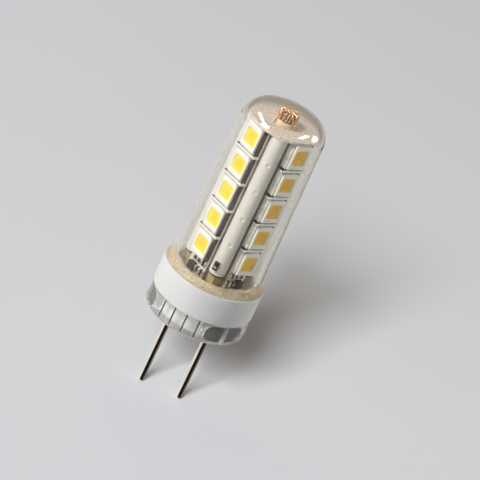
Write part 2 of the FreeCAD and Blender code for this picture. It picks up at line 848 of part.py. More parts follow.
doc.recompute()
os.makedirs("parts", exist_ok=True)
for old in os.listdir("parts"):
    if old.endswith(".step"):
        os.remove(os.path.join("parts", old))
for label, item in PIECES:
    bad = [word for word in item.State if word in ("Invalid", "Error")]
    if bad or item.Shape.isNull() or not item.Shape.isValid():
        raise RuntimeError("%s did not build: %s" % (label, item.State))
    item.Shape.exportStep(os.path.join("parts", label + ".step"))
print(len(PIECES), "pieces, top at %.2f mm" % COVER_TOP)
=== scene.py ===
import math

import bmesh
import bpy
from mathutils import Matrix, Vector, noise


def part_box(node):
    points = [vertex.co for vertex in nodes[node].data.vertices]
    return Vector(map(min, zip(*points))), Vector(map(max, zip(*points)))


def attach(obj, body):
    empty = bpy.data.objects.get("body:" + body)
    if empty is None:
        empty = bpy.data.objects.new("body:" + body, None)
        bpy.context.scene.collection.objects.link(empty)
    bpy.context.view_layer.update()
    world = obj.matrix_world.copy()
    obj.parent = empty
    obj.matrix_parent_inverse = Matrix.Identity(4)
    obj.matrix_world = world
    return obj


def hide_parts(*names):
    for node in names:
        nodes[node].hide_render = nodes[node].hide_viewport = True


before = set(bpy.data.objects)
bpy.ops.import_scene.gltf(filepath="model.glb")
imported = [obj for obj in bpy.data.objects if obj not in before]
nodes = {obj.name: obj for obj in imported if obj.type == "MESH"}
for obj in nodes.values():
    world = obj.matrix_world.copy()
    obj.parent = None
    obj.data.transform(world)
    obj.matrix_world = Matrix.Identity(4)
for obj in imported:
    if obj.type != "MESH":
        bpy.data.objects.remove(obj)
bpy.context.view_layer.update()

# The clear capsule bulb with its LED column. The CAD frame is in metres, sizes below in millimetres.
MM = 0.001

scene = bpy.context.scene
scene.view_settings.view_transform = "Standard"


def corners(node):
    """A node's lowest and highest corner, in millimetres."""
    low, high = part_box(node)
    return Vector(low) / MM, Vector(high) / MM


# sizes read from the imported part
COVER_LOW, COVER_HIGH = corners("cover")
COLLAR_LOW, COLLAR_HIGH = corners("collar")
BEAD_LOW, BEAD_HIGH = corners("sealing_bead")
POTTING_LOW, POTTING_HIGH = corners("potting")
COLUMN_LOW, COLUMN_HIGH = corners("column_core")
CORE_LOW, CORE_HIGH = corners("coil_core")
PIN_LOW, PIN_HIGH = corners("contact_pin_right")
RESISTOR_LOW, RESISTOR_HIGH = corners("chip_resistors_left")
PLATE_HIGH = corners("top_plate")[1]
CARRIER_HIGH = corners("pin_carrier")[1]
LED_FIRST, LED_SECOND = (sum(corner.z for corner in corners("led_front_left_%d" % n)) / 2 for n in (1, 2))
LED_PITCH = LED_SECOND - LED_FIRST

# sizes that no box gives, as the part's own sheet has them
COVER_WALL = 0.85
COVER_TAPER = 0.6
KNUCKLE = 3.2
CROWN = 11.0
COLUMN_TURN = 4.5
CORE_HALF = 3.55
CORE_BORE = 2.0
SLOT_HALF = 1.95
BOARD_HALF = 1.9
BOARD_FACE = 4.2
POST_RADIUS = 1.25
POST_AT = 4.25
LED_HALF = 1.5
LED_LENGTH = 3.9
LED_FACE = 5.3
LED_COUNT = 5
WELL_DEPTH = 0.38
PHOSPHOR_RECESS = 0.12
FACES = ["front_right", "back_right", "back_left", "front_left"]


def tone(red, green, blue):
    """A screen colour, 0 to 255, as the linear colour that the shaders take."""
    def straight(value):
        value /= 255.0
        return value / 12.92 if value <= 0.04045 else ((value + 0.055) / 1.055) ** 2.4
    return (straight(red), straight(green), straight(blue), 1.0)


def set_inputs(node, values):
    """Sets a node's inputs by name; an underscore may stand for a space."""
    for label, value in values.items():
        node.inputs[label.replace("_", " ")].default_value = value


# the sockets of a Mix node by kind: share, first and second, then the result
MIX_SOCKETS = {"FLOAT": (0, 2, 3, 0), "RGBA": (0, 6, 7, 2)}


def mixed(tree, kind, *values):
    """A mix from its share, first and second, each a plain value or a socket."""
    node = tree.nodes.new("ShaderNodeMix")
    node.data_type = kind
    *places, result = MIX_SOCKETS[kind]
    for place, value in zip(places, values):
        if isinstance(value, bpy.types.NodeSocket):
            tree.links.new(value, node.inputs[place])
        else:
            node.inputs[place].default_value = value
    return node.outputs[result]


# Shader groups: effects that several finishes share
NUMBER = "NodeSocketFloat"


def group_with(name, inputs, outputs):
    """An empty group with its sockets, and its two end nodes."""
    tree = bpy.data.node_groups.new(name, "ShaderNodeTree")
    for label, kind, value in inputs:
        socket = tree.interface.new_socket(label, in_out="INPUT", socket_type=kind)
        socket.default_value = value
    for label, kind in outputs:
        tree.interface.new_socket(label, in_out="OUTPUT", socket_type=kind)
    return tree, tree.nodes.new("NodeGroupInput"), tree.nodes.new("NodeGroupOutput")


def drift_group():
    """A slow mottle for colour and a fine grain for gloss and relief, stretched along an axis if asked."""
    tree, start, end = group_with(
        "moulding drift",
        [
            ("Mottle Scale", NUMBER, 300.0),
            ("Grain Scale", NUMBER, 4000.0),
            ("Stretch", "NodeSocketVector", (1.0, 1.0, 1.0)),
        ],
        [("Mottle", NUMBER), ("Grain", NUMBER)],
    )
    join = tree.links.new
    place = tree.nodes.new("ShaderNodeTexCoord")
    stretch = tree.nodes.new("ShaderNodeVectorMath")
    stretch.operation = "MULTIPLY"
    join(place.outputs["Object"], stretch.inputs[0])
    join(start.outputs["Stretch"], stretch.inputs[1])
    for scale, output, detail, low, high in (
        ("Mottle Scale", "Mottle", 3.0, 0.32, 0.68),
        ("Grain Scale", "Grain", 2.0, 0.25, 0.75),
    ):
        cloud = tree.nodes.new("ShaderNodeTexNoise")
        cloud.inputs["Detail"].default_value = detail
        spread = tree.nodes.new("ShaderNodeMapRange")
        set_inputs(spread, {"From Min": low, "From Max": high})
        join(stretch.outputs["Vector"], cloud.inputs["Vector"])
        join(start.outputs[scale], cloud.inputs["Scale"])
        join(cloud.outputs["Fac"], spread.inputs["Value"])
        join(spread.outputs["Result"], end.inputs[output])
    return tree


def speck_group():
    """Scattered grains of filler: a share of the cells holds a speck."""
    tree, start, end = group_with(
        "filler specks",
        [
            ("Scale", NUMBER, 2500.0),
            ("Share", NUMBER, 0.3),
            ("Speck Size", NUMBER, 0.35),
        ],
        [("Mask", NUMBER), ("Relief", NUMBER)],
    )
    join = tree.links.new
    place = tree.nodes.new("ShaderNodeTexCoord")
    cells = tree.nodes.new("ShaderNodeTexVoronoi")
    pick = tree.nodes.new("ShaderNodeSeparateColor")
    chosen = tree.nodes.new("ShaderNodeMath")
    chosen.operation = "LESS_THAN"
    near = tree.nodes.new("ShaderNodeMapRange")
    near.interpolation_type = "SMOOTHSTEP"
    set_inputs(near, {"To Min": 1.0, "To Max": 0.0})
    mask = tree.nodes.new("ShaderNodeMath")
    mask.operation = "MULTIPLY"
    join(place.outputs["Object"], cells.inputs["Vector"])
    join(start.outputs["Scale"], cells.inputs["Scale"])
    join(cells.outputs["Color"], pick.inputs["Color"])
    join(pick.outputs["Red"], chosen.inputs[0])
    join(start.outputs["Share"], chosen.inputs[1])
    join(cells.outputs["Distance"], near.inputs["Value"])
    join(start.outputs["Speck Size"], near.inputs["From Max"])
    join(chosen.outputs["Value"], mask.inputs[0])
    join(near.outputs["Result"], mask.inputs[1])
    join(mask.outputs["Value"], end.inputs["Mask"])
    join(near.outputs["Result"], end.inputs["Relief"])
    return tree


DRIFT = drift_group()
SPECKS = speck_group()


class Finish:
    """A material under way: its nodes, its shader and short ways to join them."""

    def __init__(self, name):
        self.material = bpy.data.materials.new(name)
        self.material.use_nodes = True
        self.nodes = self.material.node_tree.nodes
        self.shader = self.nodes["Principled BSDF"]
        self.out = self.nodes["Material Output"]

    def join(self, source, target):
        self.material.node_tree.links.new(source, target)

    def group(self, tree, **values):
        node = self.nodes.new("ShaderNodeGroup")
        node.node_tree = tree
        set_inputs(node, values)
        return node

    def mix(self, *values):
        return mixed(self.material.node_tree, "RGBA", *values)

    def colour(self, source):
        self.join(source, self.shader.inputs["Base Color"])

    def gloss(self, grain, low, high):
        """Roughness between two limits."""
        node = self.nodes.new("ShaderNodeMapRange")
        set_inputs(node, {"To Min": low, "To Max": high})
        self.join(grain, node.inputs["Value"])
        self.join(node.outputs["Result"], self.shader.inputs["Roughness"])

    def relief(self, height, depth, strength=1.0):
        """Bumps of a depth in millimetres."""
        node = self.nodes.new("ShaderNodeBump")
        set_inputs(node, {"Strength": strength, "Distance": depth * MM})
        self.join(height, node.inputs["Height"])
        self.join(node.outputs["Normal"], self.shader.inputs["Normal"])

    def set(self, **values):
        set_inputs(self.shader, values)


def moulding(name, light, dark, rough, mottle=250.0, grain=3500.0, depth=0.004, stretch=(1.0, 1.0, 1.0), **values):
    """A solid finish whose colour drifts between two tones, with a fine grain in its gloss and relief."""
    skin = Finish(name)
    drift = skin.group(DRIFT, Mottle_Scale=mottle, Grain_Scale=grain, Stretch=stretch)
    skin.colour(skin.mix(drift.outputs["Mottle"], tone(*light), tone(*dark)))
    skin.gloss(drift.outputs["Grain"], *rough)
    skin.relief(drift.outputs["Grain"], depth)
    skin.set(**values)
    return skin


def compound(name, light, dark, speck, share, weight, reach):
    """Cast filler: a soft mottle, dark specks and a pitted skin. Light reaches some millimetres into it."""
    skin = Finish(name)
    drift = skin.group(DRIFT, Mottle_Scale=1700.0, Grain_Scale=2600.0)
    grains = skin.group(SPECKS, Scale=5000.0, Share=share, Speck_Size=0.62)
    base = skin.mix(drift.outputs["Mottle"], tone(*light), tone(*dark))
    skin.colour(skin.mix(grains.outputs["Mask"], base, tone(*speck)))
    skin.gloss(drift.outputs["Grain"], 0.42, 0.7)
    skin.relief(grains.outputs["Relief"], depth=0.02, strength=0.6)
    skin.set(Subsurface_Weight=weight, Subsurface_Radius=(1.0, 0.9, 0.75), Subsurface_Scale=reach * MM)
    return skin


def clear(name, colour, rough, ior, depth, mottle=120.0, tint=None, density=0.0):
    """Clear moulded plastic. Lamps and soft bounced light pass straight through it."""
    skin = Finish(name)
    drift = skin.group(DRIFT, Mottle_Scale=mottle, Grain_Scale=900.0)
    deeper = tuple(value * 0.97 for value in colour[:3]) + (1.0,)
    skin.colour(skin.mix(drift.outputs["Mottle"], colour, deeper))
    skin.gloss(drift.outputs["Grain"], *rough)
    skin.relief(drift.outputs["Mottle"], depth)
    skin.set(Transmission_Weight=1.0, IOR=ior)
    ray = skin.nodes.new("ShaderNodeLightPath")
    passing = skin.nodes.new("ShaderNodeMath")
    passing.operation = "MAXIMUM"
    skin.join(ray.outputs["Is Shadow Ray"], passing.inputs[0])
    skin.join(ray.outputs["Is Diffuse Ray"], passing.inputs[1])
    through = skin.nodes.new("ShaderNodeBsdfTransparent")
    through.inputs["Color"].default_value = colour
    blend = skin.nodes.new("ShaderNodeMixShader")
    skin.join(passing.outputs["Value"], blend.inputs["Fac"])
    skin.join(skin.shader.outputs["BSDF"], blend.inputs[1])
    skin.join(through.outputs["BSDF"], blend.inputs[2])
    skin.join(blend.outputs["Shader"], skin.out.inputs["Surface"])
    if tint:
        depths = skin.nodes.new("ShaderNodeVolumeAbsorption")
        set_inputs(depths, {"Color": tint, "Density": density})
        skin.join(depths.outputs["Volume"], skin.out.inputs["Volume"])
    return skin


def phosphor_finish(name, light, dark, edge_tone):
    """Yellow phosphor in silicone, in a third tone where the mesh's rim meets the well's walls."""
    skin = Finish(name)
    rim = skin.nodes.new("ShaderNodeAttribute")
    rim.attribute_name = "rim"
    edge = skin.nodes.new("ShaderNodeMapRange")
    edge.inputs["From Min"].default_value = 0.45
    drift = skin.group(DRIFT, Mottle_Scale=700.0, Grain_Scale=6000.0)
    skin.join(rim.outputs["Fac"], edge.inputs["Value"])
    body = skin.mix(drift.outputs["Mottle"], tone(*light), tone(*dark))
    skin.colour(skin.mix(edge.outputs["Result"], body, tone(*edge_tone)))
    skin.gloss(drift.outputs["Grain"], 0.3, 0.45)
    skin.relief(drift.outputs["Grain"], depth=0.004)
    skin.set(Coat_Weight=0.15, Coat_Roughness=0.2)
    return skin


# Finishes: two tones from 0 to 255 and a range of roughness each
CLEAR_COVER = clear(
    "clear cover", (0.985, 0.985, 0.985, 1.0), (0.01, 0.03), ior=1.5, depth=0.005,
    tint=(0.9, 0.78, 0.42, 1.0), density=135.0,
)
CLEAR_BASE = clear("clear base", (0.93, 0.925, 0.905, 1.0), (0.08, 0.16), ior=1.4, depth=0.02, mottle=300.0)
CLEAR_BASE.set(Transmission_Weight=0.72)
COLLAR_WHITE = moulding("collar white", (222, 222, 219), (215, 216, 213), (0.28, 0.4), depth=0.003)
CARRIER_PALE = moulding("carrier body", (247, 247, 244), (236, 236, 232), (0.4, 0.55))
# the carrier's lugs, seen through the base's windows, are painted a grey shade; the rest is the carrier's own pale
CARRIER_PAINTED_SHADE = moulding("carrier lugs painted shade", (132, 132, 126), (112, 112, 106), (0.45, 0.6))
# the grooves' walls and floors are painted a darker grey, as shade in the recesses
GROOVE_PAINTED_SHADE = moulding("groove floor painted shade", (166, 166, 160), (112, 112, 107), (0.5, 0.7), mottle=900.0)
NICKEL = moulding(
    "nickel wire", (240, 236, 228), (212, 206, 196), (0.1, 0.22),
    mottle=900.0, grain=5200.0, depth=0.003, stretch=(1.0, 1.0, 0.1), Metallic=1.0,
)
LAMINATE = moulding("driver laminate", (196, 186, 150), (176, 166, 132), (0.45, 0.6))
COMPOUND = compound(
    "cream compound", (215, 198, 168), (188, 171, 139), (146, 124, 92), share=0.55, weight=0.6, reach=0.9,
)
POTTING_PALE = compound(
    "pale potting", (253, 240, 214), (242, 222, 190), (196, 168, 128), share=0.5, weight=0.9, reach=2.0,
)
TAN_MOULDING = moulding("tan moulding", (188, 174, 136), (168, 152, 114), (0.4, 0.55))
COLUMN_WHITE = moulding("column white", (238, 237, 233), (230, 228, 223), (0.3, 0.42))
PLATE_BEIGE = moulding(
    "plate laminate", (250, 242, 234), (214, 200, 188), (0.3, 0.5), mottle=1900.0, grain=6000.0, depth=0.015,
)
SEAT_CREAM = moulding("seat cream", (236, 222, 190), (224, 206, 168), (0.35, 0.5))
FERRITE = moulding("ferrite", (150, 126, 100), (112, 90, 70), (0.5, 0.65))
COPPER = moulding(
    "enamelled copper", (255, 224, 192), (222, 158, 116), (0.16, 0.34),
    mottle=1400.0, grain=6000.0, depth=0.003, Metallic=0.7,
)
CHIP_BLACK = moulding(
    "chip body", (34, 25, 17), (22, 16, 11), (0.45, 0.65),
    mottle=700.0, grain=8000.0, depth=0.008, Specular_IOR_Level=0.25,
)
CHIP_DARK = moulding(
    "resistor body", (44, 31, 21), (27, 19, 13), (0.35, 0.55), mottle=700.0, grain=8000.0, Specular_IOR_Level=0.25,
)
CHIP_TAN = moulding("ceramic body", (190, 164, 122), (170, 142, 102), (0.35, 0.5))
BOARD_METAL = moulding(
    "board edge", (186, 184, 176), (162, 160, 152), (0.3, 0.45),
    mottle=400.0, grain=3000.0, depth=0.003, Metallic=1.0,
)
BOARD_MASK = moulding("board white mask", (246, 246, 244), (238, 238, 235), (0.35, 0.5), mottle=500.0)
PACKAGE_WHITE = moulding("package white", (253, 253, 252), (247, 247, 245), (0.3, 0.45), mottle=600.0)
# one phosphor in two copies: lemon painted as lit, amber painted as in shade
PHOSPHOR_LEMON_PAINTED_LIT = phosphor_finish("lemon phosphor painted lit", (255, 236, 46), (255, 216, 36), (255, 238, 92))
PHOSPHOR_AMBER_PAINTED_SHADE = phosphor_finish("amber phosphor painted shade", (255, 200, 14), (255, 184, 10), (255, 216, 50))
# the rails are one metal painted in two tones: dark shade on a board's right, a pale reflection on its left
RAIL_PAINTED_SHADE = moulding(
    "strip painted shade", (104, 88, 74), (70, 58, 49), (0.14, 0.3),
    mottle=900.0, grain=3000.0, stretch=(1.0, 1.0, 0.35), Metallic=0.6,
)
RAIL_PAINTED_REFLECTION = moulding(
    "strip painted reflection", (250, 248, 243), (188, 184, 176), (0.2, 0.45),
    mottle=1500.0, grain=5000.0, depth=0.012, stretch=(1.0, 1.0, 0.5), Metallic=0.1,
)
CLIP_PLASTIC = moulding("clip moulding", (246, 246, 243), (236, 235, 231), (0.25, 0.4))
SOLDER = moulding(
    "solder", (238, 238, 236), (196, 196, 193), (0.2, 0.4), mottle=900.0, grain=4000.0, depth=0.006, Metallic=0.7,
)
GOLD_END = moulding(
    "gold end", (226, 190, 104), (206, 166, 84), (0.2, 0.35), mottle=900.0, grain=4000.0, Metallic=1.0,
)


# Meshes
def placed(name, data):
    item = bpy.data.objects.new(name, data)
    scene.collection.objects.link(item)
    return item


def new_piece(name, mesh, *skins):
    for skin in skins:
        mesh.materials.append(skin.material)
    return placed(name, mesh)


def settle(piece, slot, *replaced):
    """The finished piece moves with the bulb and stands for its CAD nodes."""
    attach(piece, "root")
    if replaced:
        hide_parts(*replaced)
    return piece


def to_mesh(name, shape, smooth=None):
    """A bmesh in millimetres as a mesh in metres; faces within the angle shade as one surface."""
    bmesh.ops.recalc_face_normals(shape, faces=shape.faces)
    bmesh.ops.scale(shape, vec=(MM, MM, MM), verts=shape.verts)
    mesh = bpy.data.meshes.new(name)
    shape.to_mesh(mesh)
    shape.free()
    if smooth:
        mesh.polygons.foreach_set("use_smooth", [True] * len(mesh.polygons))
        mesh.set_sharp_from_angle(angle=math.radians(smooth))
    return mesh


def shaped(name, shape, smooth, skin, slot, node):
    """A piece from a shape, smooth up to an angle in degrees, in place of one CAD node."""
    return settle(new_piece(name, to_mesh(name, shape, smooth), skin), slot, node)


def skin_rings(shape, rings, close):
    """Quads between rings of vertices; a ring of one vertex is a pole."""
    pairs = list(zip(rings, rings[1:]))
    if close:
        pairs.append((rings[-1], rings[0]))
    for low, high in pairs:
        count = max(len(low), len(high))
        if count == 1:
            continue
        for k in range(count):
            m = (k + 1) % count
            if len(low) == 1:
                shape.faces.new((low[0], high[m], high[k]))
            elif len(high) == 1:
                shape.faces.new((low[k], low[m], high[0]))
            else:
                shape.faces.new((low[k], low[m], high[m], high[k]))


def turned_shape(profile, segments, centre=(0.0, 0.0), close=True, wave=None):
    """A shape turned about Z from (radius, height) points; wave may move each point in and out and up."""
    shape = bmesh.new()
    rings = []
    for row, (radius, height) in enumerate(profile):
        if radius < 1e-6:
            rings.append([shape.verts.new((centre[0], centre[1], height))])
            continue
        ring = []
        for k in range(segments):
            angle = 2 * math.pi * k / segments
            out, up = (radius, height) if wave is None else wave(row, radius, height, angle)
            ring.append(shape.verts.new((centre[0] + out * math.cos(angle), centre[1] + out * math.sin(angle), up)))
        rings.append(ring)
    skin_rings(shape, rings, close)
    return shape


def arc_points(centre, radius, start, end, steps):
    """Points on an arc between two angles in degrees."""
    points = []
    for k in range(steps + 1):
        angle = math.radians(start + (end - start) * k / steps)
        points.append((centre[0] + radius * math.cos(angle), centre[1] + radius * math.sin(angle)))
    return points


def line_points(start, end, steps):
    """Points from the start up to, but not at, the end."""
    return [
        (start[0] + (end[0] - start[0]) * k / steps, start[1] + (end[1] - start[1]) * k / steps) for k in range(steps)
    ]


def rounded_profile(points, radius, steps=4):
    """A closed profile whose corners are rounded off."""
    count = len(points)
    result = []
    for k in range(count):
        before, here, after = (Vector(points[(k + shift) % count]) for shift in (-1, 0, 1))
        reach = min(radius, 0.4 * (before - here).length, 0.4 * (after - here).length)
        first = here + (before - here).normalized() * reach
        last = here + (after - here).normalized() * reach
        for step in range(steps + 1):
            share = step / steps
            result.append(tuple(first.lerp(here, share).lerp(here.lerp(last, share), share)))
    return result


def softened(name, node, reach, *skins, steps=2, pick=None, slot=None, smooth=40):
    """A copy of a CAD node with its sharp edges rounded; pick may give a face its material by number."""
    shape = bmesh.new()
    shape.from_mesh(nodes[node].data)
    bmesh.ops.remove_doubles(shape, verts=shape.verts, dist=1e-7)
    bmesh.ops.scale(shape, vec=(1 / MM, 1 / MM, 1 / MM), verts=shape.verts)
    bmesh.ops.dissolve_limit(shape, angle_limit=math.radians(1.0), verts=shape.verts, edges=shape.edges)
    sharp = [edge for edge in shape.edges if edge.is_manifold and edge.calc_face_angle(0.0) > math.radians(30)]
    bmesh.ops.bevel(
        shape, geom=sharp, offset=reach, segments=steps, profile=0.5, affect="EDGES", clamp_overlap=True,
    )
    bmesh.ops.triangulate(shape, faces=[face for face in shape.faces if len(face.verts) > 4])
    for face in shape.faces:
        face.material_index = pick(face) if pick else 0
    piece = new_piece(name, to_mesh(name, shape, smooth), *skins)
    return settle(piece, slot, node)


def around(radius, angle, height=0.0):
    """A point round the axis."""
    return radius * math.cos(angle), radius * math.sin(angle), height


def face_frame(index):
    """Directions across and out of a board's face."""
    turn = math.radians(COLUMN_TURN + 45.0 + 90.0 * index)
    return Vector(around(1.0, turn)), Vector((math.sin(turn), -math.cos(turn), 0.0))


def on_face(index, across, out, height):
    """A point given by its place across a face, outward from the axis and up."""
    sideways, outward = face_frame(index)
    return sideways * across + outward * out + Vector((0.0, 0.0, height))


# Geometry Nodes: small rounded blocks on points, and a wire along a path
def node_tree(name, inputs):
    """An empty tree, the identifiers of its inputs and its two end nodes."""
    tree = bpy.data.node_groups.new(name, "GeometryNodeTree")
    tree.is_modifier = True
    tree.interface.new_socket("Geometry", in_out="INPUT", socket_type="NodeSocketGeometry")
    sockets = {}
    for label, kind in inputs:
        sockets[label] = tree.interface.new_socket(label, in_out="INPUT", socket_type=kind).identifier
    tree.interface.new_socket("Geometry", in_out="OUTPUT", socket_type="NodeSocketGeometry")
    return tree, sockets, tree.nodes.new("NodeGroupInput"), tree.nodes.new("NodeGroupOutput")


def put_out(tree, start, end, result):
    """A tree's last nodes: plain geometry, shaded smooth, in its finish."""
    for kind in ("GeometryNodeRealizeInstances", "GeometryNodeSetShadeSmooth", "GeometryNodeSetMaterial"):
        node = tree.nodes.new(kind)
        tree.links.new(result, node.inputs["Geometry"])
        result = node.outputs["Geometry"]
    tree.links.new(start.outputs["Finish"], node.inputs["Material"])
    tree.links.new(result, end.inputs["Geometry"])


def block_tree():
    """A pillow-edged block on every point, turned by the point's own turn and sized by its own size."""
    tree, sockets, start, end = node_tree(
        "soldered blocks", [("Edge Crease", NUMBER), ("Finish", "NodeSocketMaterial")],
    )
    cube = tree.nodes.new("GeometryNodeMeshCube")
    cube.inputs["Size"].default_value = (1.0, 1.0, 1.0)
    round_off = tree.nodes.new("GeometryNodeSubdivisionSurface")
    round_off.inputs["Level"].default_value = 2

    def named(name, kind):
        node = tree.nodes.new("GeometryNodeInputNamedAttribute")
        node.data_type = kind
        node.inputs["Name"].default_value = name
        return node.outputs["Attribute"]

    spin = tree.nodes.new("ShaderNodeCombineXYZ")
    place = tree.nodes.new("GeometryNodeInstanceOnPoints")
    join = tree.links.new
    join(cube.outputs["Mesh"], round_off.inputs["Mesh"])
    join(start.outputs["Edge Crease"], round_off.inputs["Edge Crease"])
    join(start.outputs["Geometry"], place.inputs["Points"])
    join(round_off.outputs["Mesh"], place.inputs["Instance"])
    join(named("turn", "FLOAT"), spin.inputs["Z"])
    join(spin.outputs["Vector"], place.inputs["Rotation"])
    join(named("block", "FLOAT_VECTOR"), place.inputs["Scale"])
    put_out(tree, start, end, place.outputs["Instances"])
    return tree, sockets


def wire_tree():
    """A round wire along a path."""
    tree, sockets, start, end = node_tree(
        "wound wire",
        [("Wire Radius", NUMBER), ("Sides", "NodeSocketInt"), ("Finish", "NodeSocketMaterial")],
    )
    section = tree.nodes.new("GeometryNodeCurvePrimitiveCircle")
    sweep = tree.nodes.new("GeometryNodeCurveToMesh")
    sweep.inputs["Fill Caps"].default_value = True
    join = tree.links.new
    join(start.outputs["Wire Radius"], section.inputs["Radius"])
    join(start.outputs["Sides"], section.inputs["Resolution"])
    join(start.outputs["Geometry"], sweep.inputs["Curve"])
    join(section.outputs["Curve"], sweep.inputs["Profile Curve"])
    put_out(tree, start, end, sweep.outputs["Mesh"])
    return tree, sockets


def grown(name, data, tree, sockets, values, skin):
    """Runs a tree on a carrier and returns its result as a plain mesh piece."""
    carrier = placed(name + "_carrier", data)
    modifier = carrier.modifiers.new("tree", "NODES")
    modifier.node_group = tree
    for label, value in values.items():
        modifier[sockets[label]] = value
    modifier[sockets["Finish"]] = skin.material
    bpy.context.view_layer.update()
    mesh = bpy.data.meshes.new_from_object(carrier.evaluated_get(bpy.context.evaluated_depsgraph_get()))
    carrier.modifiers.remove(modifier)
    bpy.data.objects.remove(carrier)
    mesh.name = name
    return new_piece(name, mesh)


BLOCKS, BLOCK_SOCKETS = block_tree()
WIRE, WIRE_SOCKETS = wire_tree()


def on_board(index, middle, size):
    """A block on a board: (across, out, height) of its middle and its (width, depth, length)."""
    return COLUMN_TURN + 45.0 + 90.0 * index, on_face(index, *middle), size


def soldered_blocks(name, places, skin, slot, crease=0.55):
    """Small blocks, each with its turn in degrees, its middle and its size."""
    mesh = bpy.data.meshes.new(name + "_points")
    mesh.from_pydata([middle * MM for turn, middle, size in places], [], [])
    turns = mesh.attributes.new("turn", "FLOAT", "POINT")
    turns.data.foreach_set("value", [math.radians(turn) for turn, middle, size in places])
    sizes = mesh.attributes.new("block", "FLOAT_VECTOR", "POINT")
    sizes.data.foreach_set("vector", [value * MM for turn, middle, size in places for value in size])
    piece = grown(name, mesh, BLOCKS, BLOCK_SOCKETS, {"Edge Crease": crease}, skin)
    return settle(piece, slot)


# Cover: one smooth shell, the drafted tube, the knuckle and the crown
COVER_SEGMENTS = 160
DOME_STEPS = 20
SIDE_STEPS = 24


def dome(radius, knuckle, crown, base):
    """The knuckle's and the crown's points from the shoulder to the axis."""
    reach = radius - knuckle
    drop = math.sqrt((crown - knuckle) ** 2 - reach ** 2)
    meet = math.degrees(math.atan2(drop, reach))
    turn = arc_points((reach, base), knuckle, 0.0, meet, DOME_STEPS)
    cap = arc_points((0.0, base - drop), crown, meet, 90.0, DOME_STEPS)[1:]
    return turn + cap, base - drop + crown


NECK = COVER_HIGH.x - COVER_TAPER
SHOULDER = COVER_HIGH.z - dome(NECK, KNUCKLE, CROWN, 0.0)[1]
outer_dome = dome(NECK, KNUCKLE, CROWN, SHOULDER)[0]
inner_dome = dome(NECK - COVER_WALL, KNUCKLE - COVER_WALL, CROWN - COVER_WALL, SHOULDER)[0]
outer_side = line_points((COVER_HIGH.x, COVER_LOW.z), (NECK, SHOULDER), SIDE_STEPS)
inner_side = line_points((COVER_HIGH.x - COVER_WALL, COVER_LOW.z), (NECK - COVER_WALL, SHOULDER), SIDE_STEPS)
cover_profile = outer_side + outer_dome + (inner_side + inner_dome)[::-1]
cover_shape = turned_shape(cover_profile, COVER_SEGMENTS)
shaped("cover_shell", cover_shape, 60, CLEAR_COVER, "clear_plastic", "cover")


def cover_radius(height):
    """The cover's outside radius on its drafted side."""
    return COVER_HIGH.x - COVER_TAPER * (height - COVER_LOW.z) / (SHOULDER - COVER_LOW.z)


# Collar, with the moulding's small radii on its edges
COLLAR_WALL = 0.7
SHELF_WIDTH = 1.1
SHELF_THICK = 0.65
SPIGOT_BORE = 7.2
DRIVER_LOW = corners("driver_board")[0].z
SHELF_LOW = DRIVER_LOW - SHELF_THICK
COLLAR_EDGE = 0.22
collar_bore = COLLAR_HIGH.x - COLLAR_WALL
collar_profile = rounded_profile(
    [
        (COLLAR_HIGH.x, COLLAR_LOW.z),
        (COLLAR_HIGH.x, COLLAR_HIGH.z),
        (collar_bore, COLLAR_HIGH.z),
        (collar_bore, DRIVER_LOW),
        (collar_bore - SHELF_WIDTH, DRIVER_LOW),
        (collar_bore - SHELF_WIDTH, SHELF_LOW),
        (SPIGOT_BORE, SHELF_LOW),
        (SPIGOT_BORE, COLLAR_LOW.z),
    ],
    COLLAR_EDGE,
)
shaped("collar_ring", turned_shape(collar_profile, segments=144), 50, COLLAR_WHITE, "white_plastic", "collar")


# Sealing bead: a hollow fillet, laid by hand, so its edges wander a little
WETTED = 0.02  # how far bead and potting reach into the cover's wall, so that no air shows there
BEAD_STEPS = 16
BEAD_HOLLOW = 0.4
BEAD_LIFT = 0.2
BEAD_SWELL = 0.1
BEAD_RISE = BEAD_HIGH.z - COLLAR_HIGH.z
# each row's freedom to wander, which the rows on cover and collar don't have
BEAD_FREE = [math.sin(math.pi * min(1.0, 0.08 + k / 18)) for k in range(BEAD_STEPS + 1)] + [0.0] * 4


def wander(angle, height, spread):
    """A smooth closed wobble between -1 and 1 round the axis."""
    return noise.noise(Vector(around(spread, angle, height * 0.35)))


def bead_wave(row, radius, height, angle):
    """The fillet's rows swell, and the upper ones rise and fall."""
    free = BEAD_FREE[row]
    lift = BEAD_LIFT * wander(angle, 3.0, 2.4) * free * max(0.0, (height - COLLAR_HIGH.z) / BEAD_RISE)
    swell = BEAD_SWELL * wander(angle, height, 5.0) * free
    return radius + swell, height + lift


bead_curve = []
for k in range(BEAD_STEPS + 1):
    share = k / BEAD_STEPS
    height = COLLAR_HIGH.z + BEAD_RISE * share
    radius = BEAD_HIGH.x + (cover_radius(BEAD_HIGH.z) - BEAD_HIGH.x) * share - BEAD_HOLLOW * share * (1 - share)
    bead_curve.append((max(radius, cover_radius(height) + 0.01), height))
bead_profile = bead_curve + [
    (cover_radius(BEAD_HIGH.z) - WETTED, BEAD_HIGH.z - WETTED),
    (cover_radius(BEAD_LOW.z) - WETTED, BEAD_LOW.z),
    (collar_bore, BEAD_LOW.z),
    (collar_bore, COLLAR_HIGH.z),
]
bead_shape = turned_shape(bead_profile, segments=180, wave=bead_wave)
shaped("bead_fillet", bead_shape, 50, COMPOUND, "cream_compound", "sealing_bead")


# Potting: cast round the foot and the boards, it creeps up the walls that it wets
POTTING_SEGMENTS = 320
POTTING_DIP = 0.16
RIPPLE = 0.09
FOOT_FADE = 0.06
WALL_FADE = 0.3
LEAST_CLIMB = 0.4
FOOT_GAP = 0.02
# rows from the foot to the cover's wall, closer where the surface creeps up
POTTING_ROWS = [0.0, 0.04, 0.1, 0.2, 0.35, 0.5, 0.62, 0.72, 0.8, 0.87, 0.92, 0.96, 0.985, 1.0]


